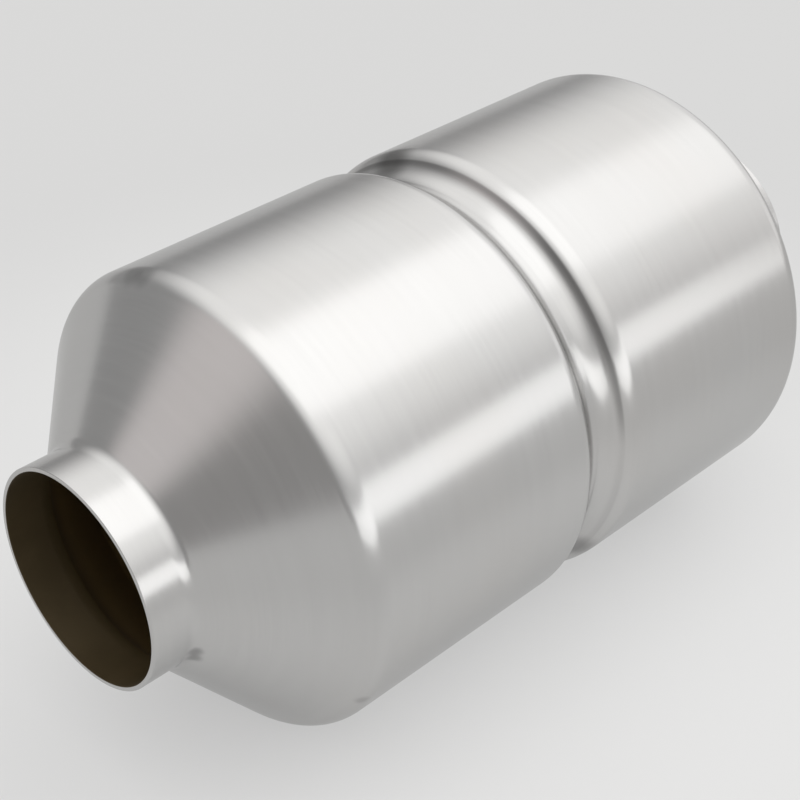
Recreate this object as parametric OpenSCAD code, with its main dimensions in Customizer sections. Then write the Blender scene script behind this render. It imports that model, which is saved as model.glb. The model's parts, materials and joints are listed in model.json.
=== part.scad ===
// Spun stainless catalytic converter with two honeycomb bricks in one round housing.
// The gas flows along +X, from the inlet neck to the outlet neck. +Z is up.
// The origin is on the axis, halfway between the two mouths.

/* [Necks] */
// Inner diameter of both necks, a slip fit over a 63.5 mm exhaust pipe
neck_bore_d = 63.8; // [45:0.1:76]
// Length of a neck from its mouth to the corner where the cone begins
neck_l = 13.9; // [8:0.1:60]
// Radius of the hollow bend between neck and cone, on the outside
neck_bend_r = 5; // [2:0.1:12]

/* [Cones] */
// Angle between the cone's side and the axis
cone_angle = 50.1; // [30:0.1:65]
// Radius of the rounded shoulder between cone and barrel, on the outside
shoulder_r = 7.9; // [3:0.1:14]

/* [Wall] */
// Thickness of the steel, the same all along the spun tube
wall = 1.4; // [0.9:0.1:2]

/* [Waist groove] */
// How far the groove between the bricks is rolled in
groove_depth = 6.4; // [5.6:0.1:8]
// Width of the groove's floor between its two corners
groove_floor_w = 8.9; // [7.7:0.1:30]
// Angle between the groove's sides and the axis
groove_side_angle = 53; // [25:0.1:57]
// Radius of the groove's rounded rims, on the outside
groove_rim_r = 6.2; // [2.2:0.1:8.4]
// Radius of the hollow bends at the groove's floor, on the outside
groove_root_r = 7.6; // [1:0.1:8.8]

/* [Bricks] */
// Diameter of a ceramic brick
brick_d = 132.1; // [110:0.1:150]
// Length of a ceramic brick
brick_l = 76.2; // [40:0.1:160]
// Free length of straight barrel at each end of a brick
brick_play = 0.05; // [0:0.05:3]
// Distance from one honeycomb cell to the next
cell_pitch = 7; // [5:0.1:12]
// Thickness of the ceramic between two cells
cell_wall = 1.1; // [0.6:0.1:2]
// Thickness of the ceramic skin round the cells
skin = 1.5; // [0.8:0.1:4]

/* [Mats] */
// Thickness of the fibre mat, squeezed between brick and barrel
mat_t = 3.3; // [2:0.1:8]
// Width of the slit where the two ends of a mat meet
mat_slit = 0.6; // [0.3:0.1:2]
// Width of the tongue on one end of a mat, along the axis
tongue_w = 24; // [8:0.5:30]
// Length of the tongue on one end of a mat, round the brick
tongue_l = 18; // [6:0.5:60]

/* [End seals] */
// Width of a knitted wire seal at the end of a mat
seal_w = 6; // [3:0.1:10]
// Bevel along the edges of a seal, where the wire is pressed round
seal_bevel = 0.8; // [0.2:0.1:0.9]

/* [Hidden] */
$fn = 96;

steel = [0.78, 0.77, 0.75];
ceramic = [0.82, 0.74, 0.6];
fibre = [0.86, 0.84, 0.78];
wire = [0.5, 0.49, 0.47];

neck_r = neck_bore_d / 2 + wall;
brick_r = brick_d / 2;
barrel_bore_r = brick_r + mat_t;
barrel_r = barrel_bore_r + wall;
groove_r = barrel_r - groove_depth;

// Half lengths, counted from the middle of the converter along the axis
floor_x = groove_floor_w / 2;
rim_x = floor_x + groove_depth / tan(groove_side_angle);
barrel_x = rim_x + groove_rim_r * tan(groove_side_angle / 2);
brick_x = barrel_x + brick_play;
barrel_end_x = brick_x + brick_l + brick_play;
shoulder_x = barrel_end_x + shoulder_r * tan(cone_angle / 2);
cone_x = shoulder_x + (barrel_r - neck_r) / tan(cone_angle);
mouth_x = cone_x + neck_l;

mat_l = brick_l - 2 * seal_w;

// Extra length of a cutting tool past the face that it cuts
past = 1;
// How far a bend's circle reaches past the two sides that it touches, so that they cross cleanly
bend_over = 0.002;

// Corners of the outer form of one half, from the mouth to the middle, shrunk by t on every side:
// each is [radius, distance from the middle, bend radius], and a hollow bend counts as negative.
function half_outline(t) =
    let (cone_shift = t * tan(cone_angle / 2), side_shift = t * tan(groove_side_angle / 2))
    [
        [neck_r - t, cone_x - cone_shift, -(neck_bend_r + t)],
        [barrel_r - t, shoulder_x - cone_shift, shoulder_r - t],
        [barrel_r - t, rim_x + side_shift, groove_rim_r - t],
        [groove_r - t, floor_x + side_shift, -(groove_root_r + t)]
    ];

// The same corners mirrored to the other side of the middle, in reverse order
function mirrored(corners) =
    [for (i = [len(corners) - 1 : -1 : 0]) [corners[i][0], -corners[i][1], corners[i][2]]];

function point(c) = [c[0], c[1]];
function unit(v) = v / norm(v);

// The bend in a corner: its centre, where it starts and where it ends
function bend(before, corner, after) =
    let (
        to_before = unit(point(before) - point(corner)),
        to_after = unit(point(after) - point(corner)),
        half_angle = acos(to_before * to_after) / 2,
        r = abs(corner[2])
    )
    [
        point(corner) + unit(to_before + to_after) * r / sin(half_angle),
        point(corner) + to_before * r / tan(half_angle),
        point(corner) + to_after * r / tan(half_angle)
    ];

module bend_circle(corner, bend) {
    away = bend[0] - point(corner);
    translate(bend[0]) rotate(atan2(away[1], away[0])) circle(abs(corner[2]) + bend_over);
}

// What lies outside the bend in a convex corner, and a little past the corner's two sides
module corner_web(corner, bend) {
    grown = 1 + past / corner[2];
    difference() {
        polygon([for (p = [bend[0], bend[1], point(corner), bend[2]]) bend[0] + (p - bend[0]) * grown]);
        bend_circle(corner, bend);
    }
}

// Closed outline through corners, each [x, y, bend radius]: 0 is sharp, and a hollow bend is negative
module rounded_outline(corners) {
    n = len(corners);
    bends = [for (i = [0 : n - 1]) bend(corners[(i + n - 1) % n], corners[i], corners[(i + 1) % n])];
    difference() {
        polygon([for (i = [0 : n - 1]) each corners[i][2] < 0 ? [bends[i][1], bends[i][2]] : [point(corners[i])]]);
        for (i = [0 : n - 1]) {
            if (corners[i][2] < 0) bend_circle(corners[i], bends[i]);
            if (corners[i][2] > 0) corner_web(corners[i], bends[i]);
        }
    }
}

// Half section of the round body shrunk by t, which runs past both mouths by extra
module half_section(t, extra) {
    end_x = mouth_x + extra;
    mouth_r = neck_r - t;
    first = [[0, end_x, 0], [mouth_r, end_x, 0]];
    last = [[mouth_r, -end_x, 0], [0, -end_x, 0]];
    rounded_outline(concat(first, half_outline(t), mirrored(half_outline(t)), last));
}

// Turns a half section, drawn as radius and place along the axis, round the X axis
module turned() {
    rotate([0, 90, 0]) rotate_extrude() children();
}

// Straight ring round the X axis, from x on for length l
module ring(x, l, r_in, r_out) {
    turned() translate([r_in, x]) square([r_out - r_in, l]);
}

module housing() {
    color(steel)
        turned()
            difference() {
                half_section(0, 0);
                half_section(wall, past);
            }
}

// Cross-section of a brick: a disc with square cells, cut off where they meet the skin
module brick_section() {
    core_r = brick_r - skin;
    cell = cell_pitch - cell_wall;
    reach = ceil(core_r / cell_pitch);
    difference() {
        circle(brick_r);
        intersection() {
            circle(core_r);
            for (i = [-reach : reach], j = [-reach : reach])
                if (norm([i, j]) * cell_pitch < core_r - cell / 4)
                    translate([i, j] * cell_pitch) square(cell, center = true);
        }
    }
}

// Brick whose face nearest the inlet is at x
module brick(x) {
    color(ceramic)
        translate([x, 0, 0]) rotate([0, 90, 0]) linear_extrude(brick_l) brick_section();
}

// Slit along the axis, from x on for length l, at a length round the brick from the seam
module axial_slit(x, l, round_l) {
    turn = round_l / barrel_bore_r * 180 / PI;
    rotate([turn, 0, 0])
        translate([x, -mat_slit / 2, -barrel_bore_r - past])
            cube([l, mat_slit, mat_t + 2 * past]);
}

// Slit round the brick at x, along one side of the tongue
module round_slit(x) {
    turn = (tongue_l + mat_slit) / barrel_bore_r * 180 / PI;
    edge = mat_slit / 2 / barrel_bore_r * 180 / PI;
    rotate([-90 - edge, 0, 0])
        rotate([0, 90, 0])
            translate([0, 0, x])
                rotate_extrude(angle = turn)
                    translate([brick_r - past, 0]) square([mat_t + 2 * past, mat_slit]);
}

// Mat round a brick whose first face is at x, with its seam and tongue underneath
module mat(x) {
    start = x + seal_w;
    tongue_x = start + (mat_l - tongue_w) / 2;
    color(fibre)
        difference() {
            ring(start, mat_l, brick_r, barrel_bore_r);
            axial_slit(start - past, tongue_x - start + past + mat_slit, 0);
            axial_slit(tongue_x, tongue_w, tongue_l);
            axial_slit(tongue_x + tongue_w - mat_slit, start + mat_l + past - tongue_x - tongue_w + mat_slit, 0);
            round_slit(tongue_x);
            round_slit(tongue_x + tongue_w - mat_slit);
        }
}

// Knitted wire seal that fills the gap round a brick's end, from x on
module seal(x) {
    b = seal_bevel;
    color(wire)
        turned()
            translate([brick_r, x])
                polygon([
                    [b, 0], [mat_t - b, 0], [mat_t, b], [mat_t, seal_w - b],
                    [mat_t - b, seal_w], [b, seal_w], [0, seal_w - b], [0, b]
                ]);
}

module front_brick() { brick(-brick_x - brick_l); }
module rear_brick() { brick(brick_x); }
module front_mat() { mat(-brick_x - brick_l); }
module rear_mat() { mat(brick_x); }
module inlet_seal() { seal(-brick_x - brick_l); }
module front_inner_seal() { seal(-brick_x - seal_w); }
module rear_inner_seal() { seal(brick_x); }
module outlet_seal() { seal(brick_x + brick_l - seal_w); }

housing();
front_brick();
rear_brick();
front_mat();
rear_mat();
inlet_seal();
front_inner_seal();
rear_inner_seal();
outlet_seal();
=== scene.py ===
import json
from collections import Counter
from math import ceil, cos, hypot, pi, radians, sin, tan

import bmesh
import bpy
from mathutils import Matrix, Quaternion, Vector


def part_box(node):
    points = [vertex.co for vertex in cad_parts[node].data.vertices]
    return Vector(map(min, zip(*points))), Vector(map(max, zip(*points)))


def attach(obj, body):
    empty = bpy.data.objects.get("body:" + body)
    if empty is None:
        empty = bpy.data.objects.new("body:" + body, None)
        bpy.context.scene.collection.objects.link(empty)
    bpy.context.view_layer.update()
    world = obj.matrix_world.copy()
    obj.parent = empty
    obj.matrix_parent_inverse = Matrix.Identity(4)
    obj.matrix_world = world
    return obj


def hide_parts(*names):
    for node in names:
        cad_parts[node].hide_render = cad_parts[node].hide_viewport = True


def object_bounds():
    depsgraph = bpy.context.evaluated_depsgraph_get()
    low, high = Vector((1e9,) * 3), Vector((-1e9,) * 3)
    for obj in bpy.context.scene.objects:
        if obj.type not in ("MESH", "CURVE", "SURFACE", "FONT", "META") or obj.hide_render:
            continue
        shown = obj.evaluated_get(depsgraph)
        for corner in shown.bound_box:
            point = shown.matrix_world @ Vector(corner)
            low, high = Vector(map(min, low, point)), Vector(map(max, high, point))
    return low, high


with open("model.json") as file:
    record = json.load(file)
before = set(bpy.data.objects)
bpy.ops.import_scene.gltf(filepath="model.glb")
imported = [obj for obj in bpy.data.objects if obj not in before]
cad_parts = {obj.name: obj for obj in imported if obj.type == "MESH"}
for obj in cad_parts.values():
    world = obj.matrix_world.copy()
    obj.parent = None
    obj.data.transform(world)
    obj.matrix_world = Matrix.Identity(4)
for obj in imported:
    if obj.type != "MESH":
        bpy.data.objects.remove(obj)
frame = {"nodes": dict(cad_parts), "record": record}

# Catalytic converter: two honeycomb bricks in one spun stainless housing.
# Metres, +X along the gas flow, +Z up, the origin on the axis halfway between the mouths.
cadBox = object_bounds()
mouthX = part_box("housing")[1].x
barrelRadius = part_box("housing")[1].z
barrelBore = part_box("front_mat")[1].z
wallThickness = barrelRadius - barrelBore
boreMount = next(m for m in frame["record"]["mounts"] if m["name"] == "outlet_bore")
neckBore = boreMount["dims"]["r_mm"] / 1000
print("frame: barrel radius", round(barrelRadius * 1000, 2), "mm, wall", round(wallThickness * 1000, 2), "mm")


# Node helpers: an input is a plain value or the output of another node

def newMaterial(name):
    material = bpy.data.materials.new(name)
    material.use_nodes = True
    tree = material.node_tree
    return material, tree, tree.nodes["Principled BSDF"]


def fillInputs(tree, node, inputs):
    for key, value in inputs.items():
        if isinstance(value, bpy.types.NodeSocket):
            tree.links.new(value, node.inputs[key])
        else:
            node.inputs[key].default_value = value


def addNode(tree, kind, inputs=None, **settings):
    node = tree.nodes.new(kind)
    for key, value in settings.items():
        setattr(node, key, value)
    fillInputs(tree, node, inputs or {})
    return node


def objectPlace(tree):
    return addNode(tree, "ShaderNodeTexCoord").outputs["Object"]


def calc(tree, operation, first, second=0.0):
    return addNode(tree, "ShaderNodeMath", {0: first, 1: second}, operation=operation).outputs[0]


def vectorCalc(tree, operation, first, second=(0, 0, 0)):
    node = addNode(tree, "ShaderNodeVectorMath", {0: first, 1: second}, operation=operation)
    givesNumber = operation in ("DISTANCE", "DOT_PRODUCT", "LENGTH")
    return node.outputs["Value" if givesNumber else "Vector"]


def scaleColour(tree, colour, factor):
    return addNode(tree, "ShaderNodeVectorMath", {0: colour, "Scale": factor}, operation="SCALE").outputs[0]


def remap(tree, value, span, result=(0, 1), smooth=True):
    # While value runs over span, the outcome runs over result, and past an end it stays as it was there
    inputs = {"Value": value, "From Min": span[0], "From Max": span[1]}
    inputs.update({"To Min": result[0], "To Max": result[1]})
    kind = "SMOOTHSTEP" if smooth else "LINEAR"
    return addNode(tree, "ShaderNodeMapRange", inputs, interpolation_type=kind).outputs["Result"]


def noise(tree, place, scale, detail, stretch=(1, 1, 1)):
    inputs = {"Vector": vectorCalc(tree, "MULTIPLY", place, stretch), "Scale": scale, "Detail": detail}
    return addNode(tree, "ShaderNodeTexNoise", inputs).outputs["Fac"]


def mixColours(tree, factor, first, second, blend="MIX"):
    first, second = [(*value, 1) if isinstance(value, tuple) else value for value in (first, second)]
    inputs = {0: factor, 6: first, 7: second}
    return addNode(tree, "ShaderNodeMix", inputs, data_type="RGBA", blend_type=blend).outputs[2]


def mixValues(tree, factor, first, second):
    return addNode(tree, "ShaderNodeMix", {0: factor, 2: first, 3: second}, data_type="FLOAT").outputs[0]


def bumpNormal(tree, height, strength, distance):
    inputs = {"Height": height, "Strength": strength, "Distance": distance}
    return addNode(tree, "ShaderNodeBump", inputs).outputs[0]


# The values that a noise mostly stays within, and a narrower span that makes its patches firmer
noiseSpan = (0.3, 0.7)
patchSpan = (0.35, 0.65)


# Housing: one spun tube, drawn as a closed section and turned round the X axis
housing = {
    "neckLength": 0.0139,
    "neckBend": 0.005,
    "coneAngle": radians(50.1),
    "shoulderRound": 0.0079,
    "grooveDepth": 0.0064,
    "grooveFloor": 0.0089,
    "grooveSideAngle": radians(53),
    "grooveRim": 0.0062,
    "grooveRoot": 0.0076,
    "mouthRound": 0.0003,
    "bendStep": radians(6),
    "turnSteps": 360,
    # Tool marks of the spinning: long round the tube and fine along it
    "fineLines": {"scale": 2600, "detail": 3, "stretch": (1, 0.02, 0.02)},
    "broadLines": {"scale": 420, "detail": 2, "stretch": (1, 0.05, 0.05)},
    "lineShade": (0.975, 1.02),
    "lineBump": {"strength": 0.05, "distance": 0.00005},
    "steelColour": (0.56, 0.556, 0.55),
    "steelRoughness": (0.205, 0.24),
    "brushing": 0.4,
    "brushingTurn": 0.25,
    # Steel mirrors a little less at a glancing angle than the shader's own curve gives
    "edgeTint": (0.82, 0.82, 0.82, 1),
    # Faint warm clouds over the steel: what they look like, their span in the noise and their full share
    "clouds": {"scale": 14, "detail": 3},
    "cloudSpan": (0.4, 0.65),
    "cloudColour": (0.54, 0.52, 0.5),
    "cloudShare": 0.25,
    # Painted shade: a dark line on the upper half of the groove's rear side, with a sharp edge towards the
    # rim: its edges are places along X, and its height runs up Z from where only the low share of it is left
    "paintedGrooveShade": {"depth": 0.48, "rootEdge": (0.006, 0.0073), "rimEdge": (0.008, 0.0075),
              "height": (0.003, 0.02), "lowShare": 0.15},
    # Painted dark reflections: where each dark spot is, how far it reaches and how dark it gets
    "paintedDarkReflections": [
        ((-0.1232, -0.0308, -0.0143), 0.0032, 0.4),
        ((-0.1232, -0.0298, -0.0178), 0.0032, 0.4),
        ((-0.0924, -0.0622, -0.0317), 0.003, 0.25),
        ((-0.0922, 0.0248, 0.0654), 0.0055, 0.24),
        ((-0.0922, 0.0198, 0.0671), 0.0055, 0.24),
        ((0.0072, 0.0275, 0.063), 0.0105, 0.58),
        ((0.0068, -0.0548, -0.0398), 0.0085, 0.4),
    ],
    "darkReflectionCore": 0.2,  # the share of its reach over which a spot is at its darkest
    # Inside faces: painted shade, dark brown in the necks and lighter brown past them
    "insideFacing": (-0.3, -0.6),  # how far a face turns towards the axis before it counts as inside
    "insideShadePatches": {"scale": 60, "detail": 4},
    "insideColour": (0.068, 0.047, 0.019),
    "insideDark": (0.055, 0.037, 0.013),
    "chamberColour": (0.33, 0.23, 0.09),
    "chamberEdge": (0.126, 0.112),  # distances from the middle, along the axis
    "insideRoughness": 0.6,
    "insideMetal": 0.2,
}


def halfOutline(shrink):
    # Corners of the rear half from the groove to the mouth: place along the axis, radius and bend
    h = housing
    neckRadius = neckBore + wallThickness
    grooveRadius = barrelRadius - h["grooveDepth"]
    coneX = mouthX - h["neckLength"]
    shoulderX = coneX - (barrelRadius - neckRadius) / tan(h["coneAngle"])
    floorX = h["grooveFloor"] / 2
    rimX = floorX + h["grooveDepth"] / tan(h["grooveSideAngle"])
    coneShift = shrink * tan(h["coneAngle"] / 2)
    sideShift = shrink * tan(h["grooveSideAngle"] / 2)
    return [
        (floorX + sideShift, grooveRadius - shrink, h["grooveRoot"] + shrink),
        (rimX + sideShift, barrelRadius - shrink, h["grooveRim"] - shrink),
        (shoulderX - coneShift, barrelRadius - shrink, h["shoulderRound"] - shrink),
        (coneX - coneShift, neckRadius - shrink, h["neckBend"] + shrink),
        (mouthX, neckRadius - shrink, h["mouthRound"]),
    ]


def wholeOutline(shrink):
    half = halfOutline(shrink)
    return [(-x, r, bend) for x, r, bend in reversed(half)] + half


def roundedSection(corners, step):
    points, normals = [], []
    for i, (x, r, bend) in enumerate(corners):
        corner = Vector((x, r))
        before = (Vector(corners[i - 1][:2]) - corner).normalized()
        after = (Vector(corners[(i + 1) % len(corners)][:2]) - corner).normalized()
        turn = pi - before.angle(after)
        reach = bend * tan(turn / 2)
        centre = corner + (before + after).normalized() * bend / cos(turn / 2)
        # The arm from the bend's centre swings evenly from one touching point to the other
        firstArm, lastArm = corner + before * reach - centre, corner + after * reach - centre
        outward = 1 if firstArm.dot(Vector((before.y, -before.x))) > 0 else -1
        steps = ceil(turn / step)
        for k in range(steps + 1):
            arm = (firstArm * sin(turn * (1 - k / steps)) + lastArm * sin(turn * k / steps)) / sin(turn)
            points.append(centre + arm)
            normals.append(arm.normalized() * outward)
    return points, normals


def spokes(count):
    return [(cos(2 * pi * k / count), sin(2 * pi * k / count)) for k in range(count)]


def turnedMesh(name, points, normals, turnSteps):
    places = [(p.x, p.y * c, p.y * s) for c, s in spokes(turnSteps) for p in points]
    directions = [(n.x, n.y * c, n.y * s) for c, s in spokes(turnSteps) for n in normals]
    count = len(points)
    faces = []
    for k in range(turnSteps):
        here, there = k * count, (k + 1) % turnSteps * count
        for i in range(count):
            j = (i + 1) % count
            faces.append((here + i, there + i, there + j, here + j))
    mesh = bpy.data.meshes.new(name)
    mesh.from_pydata(places, [], faces)
    mesh.polygons.foreach_set("use_smooth", [True] * len(faces))
    mesh.normals_split_custom_set_from_vertices(directions)
    return mesh


def placeMesh(name, mesh, material, slot, *nodes):
    piece = bpy.data.objects.new(name, mesh)
    bpy.context.scene.collection.objects.link(piece)
    mesh.materials.append(material)
    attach(piece, "root")
    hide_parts(*nodes)
    print(name, len(mesh.polygons), "faces")


def steelShade(tree, place, lines):
    # How light the steel is: the tool marks, less the painted shade in the groove and the painted dark
    # reflections
    h = housing
    paintedGrooveShade = h["paintedGrooveShade"]
    shade = remap(tree, lines, noiseSpan, h["lineShade"], smooth=False)
    parts = addNode(tree, "ShaderNodeSeparateXYZ", {0: place}).outputs
    # Painted shade: a dark line on the groove's rear side, fading out lower down
    dark = remap(tree, parts["X"], paintedGrooveShade["rootEdge"], (0, paintedGrooveShade["depth"]))
    dark = calc(tree, "MULTIPLY", dark, remap(tree, parts["X"], paintedGrooveShade["rimEdge"]))
    dark = calc(tree, "MULTIPLY", dark, remap(tree, parts["Z"], paintedGrooveShade["height"], (paintedGrooveShade["lowShare"], 1)))
    shade = calc(tree, "MULTIPLY", shade, calc(tree, "SUBTRACT", 1.0, dark))
    # Painted dark reflections: each spot darkens the steel round it
    for spot, reach, depth in h["paintedDarkReflections"]:
        away = vectorCalc(tree, "DISTANCE", place, spot)
        spotShade = remap(tree, away, (h["darkReflectionCore"] * reach, reach), (1 - depth, 1))
        shade = calc(tree, "MULTIPLY", shade, spotShade)
    return shade


# Painted shade for the inside faces: dark brown in the necks, lighter past them, patchy at random
def paintedInsideShade(tree, place):
    h = housing
    insideShadePatches = remap(tree, noise(tree, place, **h["insideShadePatches"]), patchSpan)
    neckColour = mixColours(tree, insideShadePatches, h["insideColour"], h["insideDark"])
    along = addNode(tree, "ShaderNodeSeparateXYZ", {0: place}).outputs["X"]
    chamber = remap(tree, calc(tree, "ABSOLUTE", along), h["chamberEdge"])
    return mixColours(tree, chamber, neckColour, h["chamberColour"])


def spunSteel():
    h = housing
    material, tree, shader = newMaterial("spunSteel")
    place = objectPlace(tree)
    fineLines, broadLines = noise(tree, place, **h["fineLines"]), noise(tree, place, **h["broadLines"])
    lines = mixValues(tree, 0.5, fineLines, broadLines)
    steel = scaleColour(tree, h["steelColour"], steelShade(tree, place, lines))
    clouds = remap(tree, noise(tree, place, **h["clouds"]), h["cloudSpan"], (0, h["cloudShare"]))
    steel = mixColours(tree, clouds, steel, h["cloudColour"])
    # The inside faces point towards the axis, against the direction away from it
    normal = addNode(tree, "ShaderNodeNewGeometry").outputs["Normal"]
    radial = vectorCalc(tree, "NORMALIZE", vectorCalc(tree, "MULTIPLY", place, (0, 1, 1)))
    inside = remap(tree, vectorCalc(tree, "DOT_PRODUCT", normal, radial), h["insideFacing"])
    rough = remap(tree, lines, noiseSpan, h["steelRoughness"], smooth=False)
    fillInputs(tree, shader, {
        "Base Color": mixColours(tree, inside, steel, paintedInsideShade(tree, place)),
        "Roughness": mixValues(tree, inside, rough, h["insideRoughness"]),
        "Metallic": mixValues(tree, inside, 1.0, h["insideMetal"]),
        "Specular Tint": h["edgeTint"],
        "Anisotropic": h["brushing"],
        "Anisotropic Rotation": h["brushingTurn"],
        "Tangent": addNode(tree, "ShaderNodeTangent", direction_type="RADIAL", axis="X").outputs[0],
        "Normal": bumpNormal(tree, lines, **h["lineBump"]),
    })
    return material


closedSection = wholeOutline(0) + wholeOutline(wallThickness)[::-1]
section, sectionNormals = roundedSection(closedSection, housing["bendStep"])
housingMesh = turnedMesh("housing_shell", section, sectionNormals, housing["turnSteps"])
placeMesh("housing_shell", housingMesh, spunSteel(), "spun_steel", "housing")


# Bricks: square through cells in one round ceramic body, with a closed skin
brick = {
    "cellPitch": 0.00127,
    "cellWall": 0.000165,
    "skinThickness": 0.0009,
    "rimSteps": 288,
    "washcoatColour": (0.5, 0.42, 0.31),
    "washcoatDark": (0.36, 0.29, 0.2),
    "grain": {"scale": 900, "detail": 4},
    "patches": {"scale": 45, "detail": 3},
    "roughness": (0.85, 0.97),
    "shine": 0.3,
    "grainBump": {"strength": 0.4, "distance": 0.00004},
}


def cellTiles(coreRadius):
    # Flat tiles of one end face: the openings of the cells, and the walls between them
    pitch, half = brick["cellPitch"], (brick["cellPitch"] - brick["cellWall"]) / 2
    reach = int(coreRadius / pitch)
    cells = {
        (i, j)
        for i in range(-reach, reach + 1)
        for j in range(-reach, reach + 1)
        if hypot(abs(i) * pitch + half, abs(j) * pitch + half) < coreRadius
    }
    # Each corner of a tile: steps to the cell that it belongs to, and its sides of that cell, along Y and Z
    opening = ((0, 0, -1, -1), (0, 0, 1, -1), (0, 0, 1, 1), (0, 0, -1, 1))
    wallBeside = ((0, 0, 1, -1), (1, 0, -1, -1), (1, 0, -1, 1), (0, 0, 1, 1))
    wallAbove = ((0, 0, -1, 1), (0, 0, 1, 1), (0, 1, 1, -1), (0, 1, -1, -1))
    crossing = ((0, 0, 1, 1), (1, 0, -1, 1), (1, 1, -1, -1), (0, 1, 1, -1))
    corners = {}

    def tile(i, j, pattern):
        return [corners.setdefault((i + di, j + dj, y, z), len(corners)) for di, dj, y, z in pattern]

    openings, walls = [], []
    for i, j in sorted(cells):
        beside, above = (i + 1, j) in cells, (i, j + 1) in cells
        openings.append(tile(i, j, opening))
        if beside:
            walls.append(tile(i, j, wallBeside))
        if above:
            walls.append(tile(i, j, wallAbove))
        if beside and above and (i + 1, j + 1) in cells:
            walls.append(tile(i, j, crossing))
    places = [(i * pitch + y * half, j * pitch + z * half) for i, j, y, z in corners]
    return places, openings, walls


def sidesOf(tile):
    return zip(tile, tile[1:] + tile[:1])


def rimFaces(places, tiles, radius):
    # The closed band between the stepped edge of the cells and the outer circle
    uses = Counter(frozenset(side) for tile in tiles for side in sidesOf(tile))
    edge = [sorted(side) for side, count in uses.items() if count == 1]
    circle = [(radius * c, radius * s) for c, s in spokes(brick["rimSteps"])]
    work = bmesh.new()
    edgeCorners = sorted({index for side in edge for index in side})
    made = {index: work.verts.new((*places[index], 0)) for index in edgeCorners}
    ring = [work.verts.new((y, z, 0)) for y, z in circle]
    for a, b in edge:
        work.edges.new((made[a], made[b]))
    for side in sidesOf(ring):
        work.edges.new(side)
    names = {vert: index for index, vert in made.items()}
    names.update({vert: len(places) + k for k, vert in enumerate(ring)})
    bmesh.ops.triangle_fill(work, use_beauty=True, edges=work.edges[:], normal=(0, 0, 1))
    faces = []
    for face in work.faces:
        loop = [names[vert] for vert in face.verts]
        faces.append(loop if face.normal.z > 0 else loop[::-1])
    work.free()
    return places + circle, faces


def brickMesh(name, node):
    low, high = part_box(node)
    places, openings, walls = cellTiles(high.z - brick["skinThickness"])
    cellCorners = len(places)
    places, rim = rimFaces(places, openings + walls, high.z)
    total = len(places)
    verts = [(x, y, z) for x in (high.x, low.x) for y, z in places]
    faces = walls + rim
    faces += [[total + v for v in reversed(tile)] for tile in faces]
    for tile in openings:
        faces += [[a, b, total + b, total + a] for a, b in sidesOf(tile)]
    skin = list(range(cellCorners, total))
    faces += [[b, a, total + a, total + b] for a, b in sidesOf(skin)]
    mesh = bpy.data.meshes.new(name)
    mesh.from_pydata(verts, [], faces)
    mesh.update()
    return mesh


def coatedCeramic():
    material, tree, shader = newMaterial("coatedCeramic")
    place = objectPlace(tree)
    grain = noise(tree, place, **brick["grain"])
    mixed = mixValues(tree, 0.5, grain, noise(tree, place, **brick["patches"]))
    patches = remap(tree, mixed, patchSpan)
    fillInputs(tree, shader, {
        "Base Color": mixColours(tree, patches, brick["washcoatDark"], brick["washcoatColour"]),
        "Roughness": remap(tree, grain, noiseSpan, brick["roughness"]),
        "Specular IOR Level": brick["shine"],
        "Normal": bumpNormal(tree, grain, **brick["grainBump"]),
    })
    return material


washcoat = coatedCeramic()
for node in ("front_brick", "rear_brick"):
    placeMesh(node + "_cells", brickMesh(node + "_cells", node), washcoat, "coated_ceramic", node)


# Mats and seals keep their CAD shapes and get a finish

def finishNodes(names, material):
    for name in names:
        piece = frame["nodes"][name]
        piece.data.materials.clear()
        piece.data.materials.append(material)


# Mats: pale fibre with brown flecks
mat = {
    "fibreColour": (0.72, 0.68, 0.58),
    "fibreDark": (0.6, 0.56, 0.47),
    "fibres": {"scale": 1500, "detail": 4, "stretch": (1, 0.4, 0.4)},
    "fleckColour": (0.42, 0.33, 0.2),
    "fleckScale": 420,
    "fleckEdge": (0.18, 0.1),
    "roughness": (0.88, 1),
    "fibreBump": {"strength": 0.6, "distance": 0.0003},
}


def fibreMat():
    material, tree, shader = newMaterial("fibreMat")
    place = objectPlace(tree)
    fibres = noise(tree, place, **mat["fibres"])
    light = mixColours(tree, remap(tree, fibres, noiseSpan), mat["fibreDark"], mat["fibreColour"])
    cells = addNode(tree, "ShaderNodeTexVoronoi", {"Vector": place, "Scale": mat["fleckScale"]})
    flecks = remap(tree, cells.outputs["Distance"], mat["fleckEdge"])
    fillInputs(tree, shader, {
        "Base Color": mixColours(tree, flecks, light, mat["fleckColour"]),
        "Roughness": remap(tree, fibres, noiseSpan, mat["roughness"]),
        "Normal": bumpNormal(tree, fibres, **mat["fibreBump"]),
    })
    return material


# Seals: rings of knitted wire with dark gaps between the stitches
seal = {
    "wireColour": (0.5, 0.49, 0.47),
    "gapColour": (0.08, 0.075, 0.07),
    "stitchLength": 0.0016,
    "wireEdge": (0.2, 0.05),
    "roughness": (0.7, 0.35),
    "wireBump": {"strength": 0.8, "distance": 0.0004},
}


def knittedWire():
    material, tree, shader = newMaterial("knittedWire")
    inputs = {"Vector": objectPlace(tree), "Scale": 1 / seal["stitchLength"]}
    stitches = addNode(tree, "ShaderNodeTexVoronoi", inputs, feature="DISTANCE_TO_EDGE")
    wires = remap(tree, stitches.outputs["Distance"], seal["wireEdge"])
    fillInputs(tree, shader, {
        "Base Color": mixColours(tree, wires, seal["gapColour"], seal["wireColour"]),
        "Roughness": remap(tree, wires, (0, 1), seal["roughness"]),
        "Metallic": 1.0,
        "Normal": bumpNormal(tree, wires, **seal["wireBump"]),
    })
    return material


finishNodes(("front_mat", "rear_mat"), fibreMat())
finishNodes(("inlet_seal", "front_inner_seal", "rear_inner_seal", "outlet_seal"), knittedWire())
print("mats and seals finished")


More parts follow.
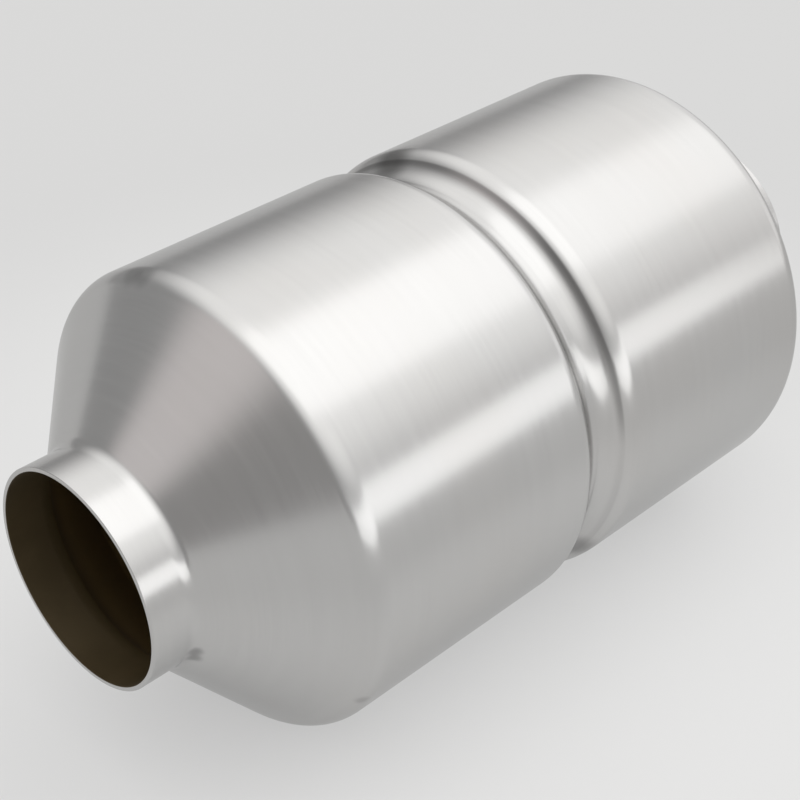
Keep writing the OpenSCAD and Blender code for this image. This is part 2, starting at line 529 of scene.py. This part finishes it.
# Floor: part of its paleness is a glow that only the camera, metal and glass see, so the shadow stays light
floor = {
    "halfSize": 14.0,
    "colour": (0.36, 0.36, 0.358),
    "clouds": {"scale": 3, "detail": 2},
    "cloudShade": (0.99, 1),
    "roughness": 0.9,
    "glow": (0.41, 0.26),  # near the object, and further off
    "glowEdge": (0.08, 0.32),
}


def paleFloor():
    material, tree, shader = newMaterial("paleFloor")
    place = objectPlace(tree)
    shade = remap(tree, noise(tree, place, **floor["clouds"]), noiseSpan, floor["cloudShade"])
    fillInputs(tree, shader, {
        "Base Color": scaleColour(tree, floor["colour"], shade),
        "Roughness": floor["roughness"],
        "Specular IOR Level": 0.0,
    })
    level = remap(tree, vectorCalc(tree, "LENGTH", place), floor["glowEdge"], floor["glow"])
    path = addNode(tree, "ShaderNodeLightPath").outputs
    seen = calc(tree, "MAXIMUM", path["Is Camera Ray"], path["Is Glossy Ray"])
    seen = calc(tree, "MAXIMUM", seen, path["Is Transmission Ray"])
    glow = addNode(tree, "ShaderNodeEmission", {"Strength": calc(tree, "MULTIPLY", seen, level)})
    pale = addNode(tree, "ShaderNodeAddShader", {0: shader.outputs[0], 1: glow.outputs[0]})
    # Seen from below, the floor lets the underside of the object show
    backSide = addNode(tree, "ShaderNodeNewGeometry").outputs["Backfacing"]
    clear = addNode(tree, "ShaderNodeBsdfTransparent")
    mixed = addNode(tree, "ShaderNodeMixShader", {0: backSide, 1: pale.outputs[0], 2: clear.outputs[0]})
    tree.links.new(mixed.outputs[0], tree.nodes["Material Output"].inputs["Surface"])
    return material


def addFloor():
    half, level = floor["halfSize"], cadBox[0].z
    corners = [(-half, -half, level), (half, -half, level), (half, half, level), (-half, half, level)]
    mesh = bpy.data.meshes.new("floor")
    mesh.from_pydata(corners, [], [(0, 1, 2, 3)])
    mesh.materials.append(paleFloor())
    sheet = bpy.data.objects.new("floor", mesh)
    bpy.context.scene.collection.objects.link(sheet)
    return sheet


# Lamps: a broad one overhead and a low strip in front. Level 1 makes a lamp white in a mirror.
lamps = {
    "overhead": {
        "place": (0.45, -0.62, 2.4),
        "aim": (0.45, -0.62, 0),
        "roll": 0,
        "size": (3.3, 2.1),
        "level": 0.15,
        "lightsFloor": True,
    },
    "frontStrip": {
        "place": (0.24, -1.3, 0.18),
        "aim": (0.24, 0, 0.18),
        "roll": 8,
        "size": (2.55, 0.42),
        "level": 1.0,
        "lightsFloor": False,
    },
}


def addLamp(name, sheet, place, aim, roll, size, level, lightsFloor):
    lamp = bpy.data.lights.new(name, "AREA")
    lamp.shape = "RECTANGLE"
    lamp.size, lamp.size_y = size
    lamp.energy = level * pi * size[0] * size[1]
    holder = bpy.data.objects.new(name, lamp)
    holder.location = place
    facing = (Vector(aim) - Vector(place)).to_track_quat("-Z", "Y")
    holder.rotation_euler = (facing @ Quaternion((0, 0, 1), radians(roll))).to_euler()
    bpy.context.scene.collection.objects.link(holder)
    holder.visible_camera = False  # views from behind look towards the strip
    if not lightsFloor:
        skipped = bpy.data.collections.new(name + "_skips")
        skipped.objects.link(sheet)
        skipped.collection_objects[0].light_linking.link_state = "EXCLUDE"
        holder.light_linking.receiver_collection = skipped


# The room's light: dim walls and a bright ceiling, lighter towards the outlet and darker towards the inlet.
# An edge is where a change starts and where it is complete, measured on the direction or on its slope.
room = {
    "wallLight": (0.4, 0.4, 0.4),
    "ceilingLight": (1.33, 1.325, 1.315),
    "ceilingUp": (0.2, -0.1, 0.96),
    "ceilingTwist": 0.15,
    "ceilingEdge": (0.16, 0.78),
    "outletLight": (1.2, 1.195, 1.195),
    "outletEdge": (0.7, 0.86),
    "inletLight": (0.37, 0.363, 0.36),
    "inletEdge": (-0.6, -0.93),
    "windowLight": (0.84, 0.8, 0.795),
    "windowPlace": (-0.82, 0.37, 0.44),
    "windowEdge": (0.9, 0.985),
    "box": {"light": 0.3, "edge": (0.2, 0.3), "inletEdge": (-0.66, -0.45), "outletEdge": (2.2, 1.5),
            "nearEdge": (-0.85, -0.55), "farEdge": (0.38, 0.08)},
    "band": {"light": 0.3, "edge": (-0.2, -0.3), "tilt": 0.1, "bottomEdge": (0.03, -0.08),
             "topEdge": (-0.4, -0.1), "inletEdge": (1.2, 0.8), "outletEdge": (-1.9, -0.7)},
}


def softPatch(tree, towards, patch, slopes):
    # Light on the side that towards measures, faded out at each edge of the patch
    light = remap(tree, towards, patch["edge"], (0, patch["light"]))
    for edge, slope in slopes.items():
        light = calc(tree, "MULTIPLY", light, remap(tree, slope, patch[edge]))
    return light


def overheadBox(tree, x, y, z):
    along, across = calc(tree, "DIVIDE", x, z), calc(tree, "DIVIDE", y, z)
    slopes = {"inletEdge": along, "outletEdge": along, "nearEdge": across, "farEdge": across}
    return softPatch(tree, z, room["box"], slopes)


def lowBand(tree, x, y, z):
    # On the near side Y is negative, so a slope counts down as the direction rises or turns to the outlet
    aside = calc(tree, "DIVIDE", x, y)
    tilt = calc(tree, "MULTIPLY", aside, room["band"]["tilt"])
    rise = calc(tree, "ADD", calc(tree, "DIVIDE", z, y), tilt)
    slopes = {"bottomEdge": rise, "topEdge": rise, "inletEdge": aside, "outletEdge": aside}
    return softPatch(tree, y, room["band"], slopes)


def roomLight():
    world = bpy.data.worlds.new("roomLight")
    world.use_nodes = True
    tree = world.node_tree
    direction = addNode(tree, "ShaderNodeTexCoord").outputs["Generated"]
    x, y, z = addNode(tree, "ShaderNodeSeparateXYZ", {0: direction}).outputs
    height = vectorCalc(tree, "DOT_PRODUCT", direction, room["ceilingUp"])
    twist = calc(tree, "MULTIPLY", calc(tree, "MULTIPLY", x, y), room["ceilingTwist"])
    ceiling = remap(tree, calc(tree, "ADD", height, twist), room["ceilingEdge"])
    colour = mixColours(tree, ceiling, room["wallLight"], room["ceilingLight"])
    colour = mixColours(tree, remap(tree, x, room["outletEdge"]), colour, room["outletLight"])
    colour = mixColours(tree, remap(tree, x, room["inletEdge"]), colour, room["inletLight"])
    window = vectorCalc(tree, "DOT_PRODUCT", direction, Vector(room["windowPlace"]).normalized())
    colour = mixColours(tree, remap(tree, window, room["windowEdge"]), colour, room["windowLight"])
    glow = calc(tree, "ADD", overheadBox(tree, x, y, z), lowBand(tree, x, y, z))
    greyGlow = addNode(tree, "ShaderNodeCombineXYZ", {0: glow, 1: glow, 2: glow})
    colour = mixColours(tree, 1.0, colour, greyGlow.outputs[0], "ADD")
    tree.links.new(colour, tree.nodes["Background"].inputs["Color"])
    bpy.context.scene.world = world


floorSheet = addFloor()
for name, lamp in lamps.items():
    addLamp(name, floorSheet, **lamp)
roomLight()
print("studio lit")


# Camera of the photograph: a level one, without roll
camera = {
    "place": (-0.32045211, -0.30591913, 0.29586435),
    "aim": (-0.01236234, 0.00379736, -0.00422962),
    "lens": 76.696,
    "sensorWidth": 36.0,
}


def addCamera():
    data = bpy.data.cameras.new("camera")
    data.lens = camera["lens"]
    data.sensor_width = camera["sensorWidth"]
    holder = bpy.data.objects.new("camera", data)
    holder.location = camera["place"]
    direction = Vector(camera["aim"]) - Vector(camera["place"])
    holder.rotation_euler = direction.to_track_quat("-Z", "Y").to_euler()
    bpy.context.scene.collection.objects.link(holder)
    bpy.context.scene.camera = holder


addCamera()
bpy.context.scene.view_settings.view_transform = "Standard"
print("camera placed")
